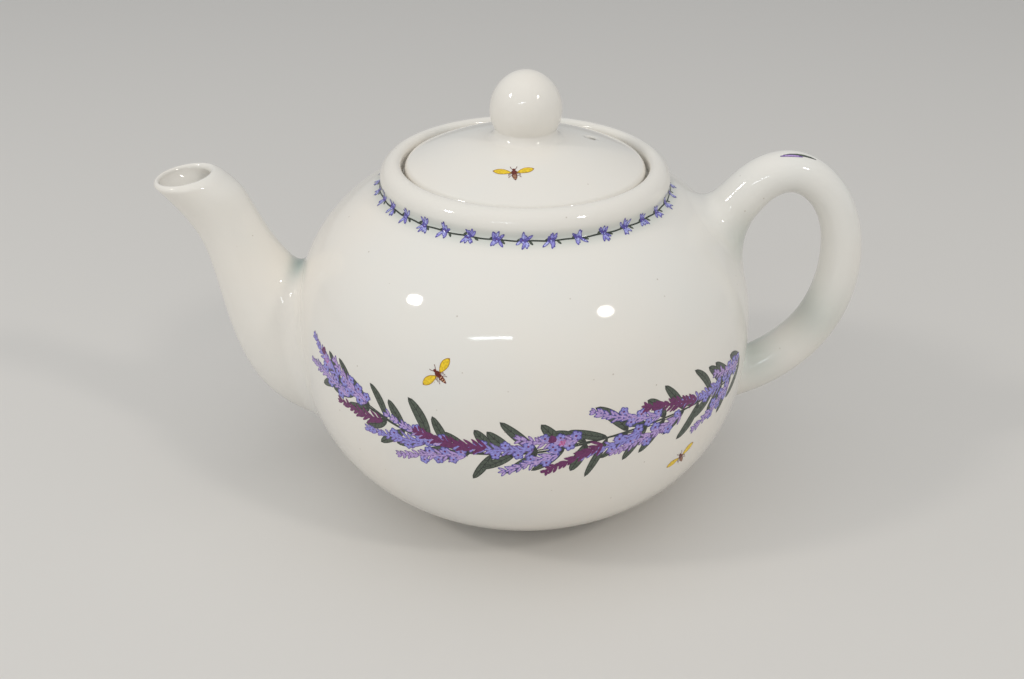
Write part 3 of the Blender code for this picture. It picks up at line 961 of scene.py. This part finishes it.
def draw_neck_band(sheet, radius, rng):
    """A thin stem all the way round, with a cluster of florets at even steps."""
    around = math.tau * radius / MM
    t = np.linspace(0, around, 220)
    sheet.stroke("leaf_dark", np.stack([t, 0.12 * np.sin(t / 1.7)], axis=1), BAND_STEM)
    for i in range(BAND_CLUSTERS):
        x = around * i / BAND_CLUSTERS
        lean = rng.uniform(-12, 12)
        for away, degrees, length in BAND_LEAVES:
            draw_petal(sheet, (x + away, 0), degrees + lean, length, 0.8, "leaf_dark", "leaf_grey")
        for side in (-1, 1):
            for turn in BAND_TURNS:
                start = (x + rng.uniform(-0.9, 0.9), 0)
                pale = rng.choice(("periwinkle", "pale_blue"))
                length = rng.uniform(*BAND_LENGTHS)
                draw_petal(sheet, start, side * turn + lean, length, 1.05, "indigo", pale)
        middle = (x + rng.uniform(-0.6, 0.6), rng.uniform(-0.6, 0.6))
        draw_floret(sheet, middle, 1.15, lean, "indigo", "pale_blue")


def print_pieces(sheets, names, body, inks):
    """One piece for each ink that these sheets use. names says what an ink's piece is called."""
    gathered = {}
    for sheet in sheets:
        for ink, strokes in sheet.strokes.items():
            gathered.setdefault(ink, []).extend(strokes)
    for ink, strokes in gathered.items():
        points, faces = [], []
        for stroke_points, stroke_faces in strokes:
            start = len(points)
            points.extend(stroke_points)
            faces.extend(tuple(start + corner for corner in face) for face in stroke_faces)
        name = f"{names}_{ink}"
        ride_glazed(name, new_mesh(name, points, faces, [inks[ink]]), body)


def make_prints(profile):
    """The garlands and insects, the band round the neck, the lid's insect and the handle's sprig."""
    rng = random.Random(SEED)
    inks = {name: ink_material(name, colour) for name, (colour, _) in INKS.items()}
    line = profile[int(np.argmax(profile[:, 1])) :]
    line = line[: int(np.argmax(line[:, 1] < 2 * FOOT_HEIGHT))][::-1]
    belly = TurnedSkin(line, int(np.argmax(line[:, 0])))
    neck = TurnedSkin(line, int(np.argmin(np.hypot(line[:, 0] - RIM_RADIUS, line[:, 1] - RIM_FOOT_LEVEL))))
    sheets = []
    stem = garland_stem(101)
    for half_turn in (0, math.pi * belly.radius / MM):
        garland = Sheet(belly, (half_turn, 0))
        draw_garland(garland, rng)
        sheets.append(garland)
        for share, away, turn in INSECTS:
            spot = stem[int(100 * share)]
            insect = Sheet(belly, (half_turn + spot[0], spot[1] + away), turn)
            draw_bee(insect)
            sheets.append(insect)
    print_pieces(sheets, "garland", "pot", inks)
    band = Sheet(neck)
    draw_neck_band(band, neck.radius, rng)
    print_pieces([band], "neck_band", "pot", inks)
    lid_skin = TurnedSkin(dome_line(LID_RADIUS - 2 * MM, 2 * MM, 40), DOME_REFERENCE)
    lid_bee = Sheet(lid_skin, LID_INSECT_SPOT, LID_INSECT_TURN)
    draw_bee(lid_bee)
    print_pieces([lid_bee], "lid_bee", "lid", inks)
    sprig = Sheet(HandleSkin(HANDLE_SPRIG), (0, -SPRIG_FORWARD))
    draw_petal(sprig, (0.8, 0), 3, 7.6, 1.1, "leaf_dark", "leaf_grey")
    draw_petal(sprig, (0, -0.4), -3, 5.0, 1.0, "violet", "lilac")
    print_pieces([sprig], "handle_sprig", "pot", inks)


# ---- materials

GLAZE_COOL = (0.80, 0.79, 0.75)
GLAZE_WARM = (0.85, 0.80, 0.725)
# The blue-green of pooled glaze, also laid on as a painted reflection on the handle's lower limb.
GLAZE_POOL_AND_REFLECTION = (0.20, 0.34, 0.31)
GLAZE_SPECK = (0.30, 0.22, 0.14)
CLAY_DARK = (0.56, 0.52, 0.45)
CLAY_PALE = (0.70, 0.66, 0.58)
CLAY_GRAIN, CLAY_ROUGHNESS = (900, 4.0, 0.7), 0.8
INK_GRAIN, INK_ROUGHNESS = (1400, 3.0, 0.6), 0.07
INK_MOTTLE = (0.8, 1.25)
# A Mix node's colour sockets, which have the same names as its number sockets.
MIX_FIRST, MIX_SECOND, MIX_RESULT = 6, 7, 2


def new_material(name):
    material = bpy.data.materials.new(name)
    material.use_nodes = True
    return material, material.node_tree, material.node_tree.nodes["Principled BSDF"]


def link(tree, source, output, target, socket):
    tree.links.new(source.outputs[output], target.inputs[socket])


def noise(tree, scale, detail=2.0, roughness=0.5):
    """A noise pattern in the object's own metres."""
    place = tree.nodes.new("ShaderNodeTexCoord")
    pattern = tree.nodes.new("ShaderNodeTexNoise")
    pattern.inputs["Scale"].default_value = scale
    pattern.inputs["Detail"].default_value = detail
    pattern.inputs["Roughness"].default_value = roughness
    link(tree, place, "Object", pattern, "Vector")
    return pattern


def ramp(tree, source, stops):
    """Colours between positions: stops are (position, colour)."""
    colours = tree.nodes.new("ShaderNodeValToRGB")
    elements = colours.color_ramp.elements
    while len(elements) < len(stops):
        elements.new(0.5)
    for element, (position, colour) in zip(elements, stops):
        element.position = position
        element.color = (*colour, 1)
    tree.links.new(source, colours.inputs["Fac"])
    return colours


def add_bump(tree, shader, pattern, strength, distance):
    bump = tree.nodes.new("ShaderNodeBump")
    bump.inputs["Strength"].default_value = strength
    bump.inputs["Distance"].default_value = distance
    link(tree, pattern, "Fac", bump, "Height")
    link(tree, bump, "Normal", shader, "Normal")


def map_range(tree, source, output, span, result):
    """The output's span of values stretched over the result's."""
    node = tree.nodes.new("ShaderNodeMapRange")
    node.inputs["From Min"].default_value, node.inputs["From Max"].default_value = span
    node.inputs["To Min"].default_value, node.inputs["To Max"].default_value = result
    link(tree, source, output, node, "Value")
    return node


def blend_colour(tree, base, factor, output, colour):
    """The base node's colour, going over to colour as the factor rises to 1."""
    mix = tree.nodes.new("ShaderNodeMix")
    mix.data_type = "RGBA"
    link(tree, factor, output, mix, "Factor")
    tree.links.new(base, mix.inputs[MIX_FIRST])
    mix.inputs[MIX_SECOND].default_value = (*colour, 1)
    return mix.outputs[MIX_RESULT]


def glaze_material():
    """Glossy glaze over cream clay: clouds of colour, blue-green where it pools and as a painted reflection
    on the handle's lower limb, a few iron specks.
    """
    material, tree, shader = new_material("cream_glaze")
    clouds = noise(tree, scale=14, detail=3.0)
    tint = ramp(tree, clouds.outputs["Fac"], [(0.3, GLAZE_COOL), (0.7, GLAZE_WARM)])
    pooled_and_reflected = tree.nodes.new("ShaderNodeAttribute")
    pooled_and_reflected.attribute_name = "pooled_and_reflected"
    # Blue-green where the glaze pools, and painted reflection on the handle's lower limb.
    colour = blend_colour(tree, tint.outputs["Color"], pooled_and_reflected, "Fac", GLAZE_POOL_AND_REFLECTION)
    cells = tree.nodes.new("ShaderNodeTexVoronoi")
    cells.inputs["Scale"].default_value = 130
    link(tree, tree.nodes.new("ShaderNodeTexCoord"), "Object", cells, "Vector")
    speck = map_range(tree, cells, "Distance", span=(0.02, 0.045), result=(0.45, 0.0))
    colour = blend_colour(tree, colour, speck, "Result", GLAZE_SPECK)
    tree.links.new(colour, shader.inputs["Base Color"])
    gloss = map_range(tree, noise(tree, scale=60), "Fac", span=(0.0, 1.0), result=(0.045, 0.085))
    link(tree, gloss, "Result", shader, "Roughness")
    add_bump(tree, shader, noise(tree, scale=90, detail=1.0), strength=0.25, distance=0.12 * MM)
    shader.inputs["IOR"].default_value = 1.5
    return material


def mottled_material(name, grain, stops, roughness):
    """A material whose colour follows a noise. grain is the noise's scale, detail and roughness."""
    material, tree, shader = new_material(name)
    pattern = noise(tree, *grain)
    link(tree, ramp(tree, pattern.outputs["Fac"], stops), "Color", shader, "Base Color")
    shader.inputs["Roughness"].default_value = roughness
    return material, pattern, shader


def bare_material():
    """Unglazed fired clay, dry and a little gritty."""
    stops = [(0.3, CLAY_DARK), (0.7, CLAY_PALE)]
    material, grit, shader = mottled_material("bare_clay", CLAY_GRAIN, stops, CLAY_ROUGHNESS)
    add_bump(material.node_tree, shader, grit, strength=0.5, distance=0.2 * MM)
    return material


def ink_material(name, colour):
    """Ceramic ink fired under the clear glaze, so it is as glossy as the rest."""
    linear = [((value / 255 + 0.055) / 1.055) ** 2.4 for value in colour]
    dark, pale = ([min(1, value * share) for value in linear] for share in INK_MOTTLE)
    return mottled_material(f"ink_{name}", INK_GRAIN, [(0.35, dark), (0.65, pale)], INK_ROUGHNESS)[0]


# ---- the scene

# The camera stands in front of the pot and looks down at 29 degrees.
CAMERA_PLACE = AXIS + Vector((0, -0.3992, 0.2717))
CAMERA_HEADING = Vector((-0.0085, 0.8771, -0.4803))
CAMERA_ROLL = math.radians(0.55)
CAMERA_LENS = 43.95  # on Blender's usual sensor, 36 mm wide
FLOOR_REACH = 12.0
FLOOR_COLOUR = (0.70, 0.68, 0.65, 1)
# Each light's shape, place, aim, power, size and colour. The glaze mirrors the last three and not the rest.
POT_MIDDLE = (0, 0, 0.07)
LAMP_LIGHT = (POT_MIDDLE, 2.2, (0.16, 0.16), (1.0, 0.95, 0.88))
LIGHTS = {
    "overhead": ("RECTANGLE", (0.1, -0.2, 1.3), POT_MIDDLE, 4.2, (1.6, 1.3), (1.0, 0.99, 0.96)),
    "side": ("RECTANGLE", (-1.3, -0.4, 0.8), POT_MIDDLE, 2.8, (1.0, 1.0), (0.97, 0.99, 1.0)),
    "front": ("RECTANGLE", (0.6, -1.4, 0.5), POT_MIDDLE, 1.5, (1.2, 0.8), (1.0, 0.95, 0.87)),
    "left_lamp": ("DISK", (-0.94, -0.40, 0.89), *LAMP_LIGHT),
    "right_lamp": ("DISK", (0.76, -0.63, 0.94), *LAMP_LIGHT),
    "strip": ("RECTANGLE", (-0.33, -1.09, 0.74), (-0.5, 0, 0.07), 0.8, (0.48, 0.035), (0.85, 0.93, 1.0)),
}
MIRRORED = ("left_lamp", "right_lamp", "strip")
WORLD_COLOUR, WORLD_STRENGTH = (0.93, 0.95, 0.97, 1), 0.48


def make_camera():
    data = bpy.data.cameras.new("camera")
    data.lens = CAMERA_LENS
    data.clip_start = 0.01
    camera = add_object("camera", data)
    look = CAMERA_HEADING.to_track_quat("-Z", "Y").to_matrix().to_4x4()
    roll = Matrix.Rotation(CAMERA_ROLL, 4, "Z")
    camera.matrix_world = Matrix.Translation(CAMERA_PLACE) @ look @ roll
    bpy.context.scene.camera = camera


def make_floor():
    mesh = bpy.data.meshes.new("floor")
    corners = [(x * FLOOR_REACH, y * FLOOR_REACH, 0) for x, y in ((-1, -1), (1, -1), (1, 1), (-1, 1))]
    mesh.from_pydata(corners, [], [(0, 1, 2, 3)])
    floor = add_object("floor", mesh)
    material, _, shader = new_material("pale_floor")
    shader.inputs["Base Color"].default_value = FLOOR_COLOUR
    shader.inputs["Roughness"].default_value = 0.6
    mesh.materials.append(material)


def make_lights():
    """Broad light that the glaze doesn't mirror, and small lamps and a strip of window that it does."""
    for name, (shape, place, target, power, size, colour) in LIGHTS.items():
        data = bpy.data.lights.new(name, "AREA")
        data.shape = shape
        data.size, data.size_y = size
        data.energy = power
        data.color = colour
        light = add_object(name, data)
        light.location = place
        light.rotation_euler = (Vector(target) - Vector(place)).to_track_quat("-Z", "Y").to_euler()
        light.visible_glossy = name in MIRRORED
    world = bpy.data.worlds.new("studio")
    world.use_nodes = True
    background = world.node_tree.nodes["Background"]
    background.inputs["Color"].default_value = WORLD_COLOUR
    background.inputs["Strength"].default_value = WORLD_STRENGTH
    bpy.context.scene.world = world


def main():
    bpy.context.scene.view_settings.view_transform = "Standard"
    make_camera()
    glaze = glaze_material()
    bare = bare_material()
    profile = body_profile()
    make_body(profile, glaze, bare)
    make_spout(glaze)
    make_handle(glaze)
    make_lid(glaze, bare)
    make_knob(glaze)
    make_prints(profile)
    make_floor()
    make_lights()


main()
bpy.context.view_layer.update()
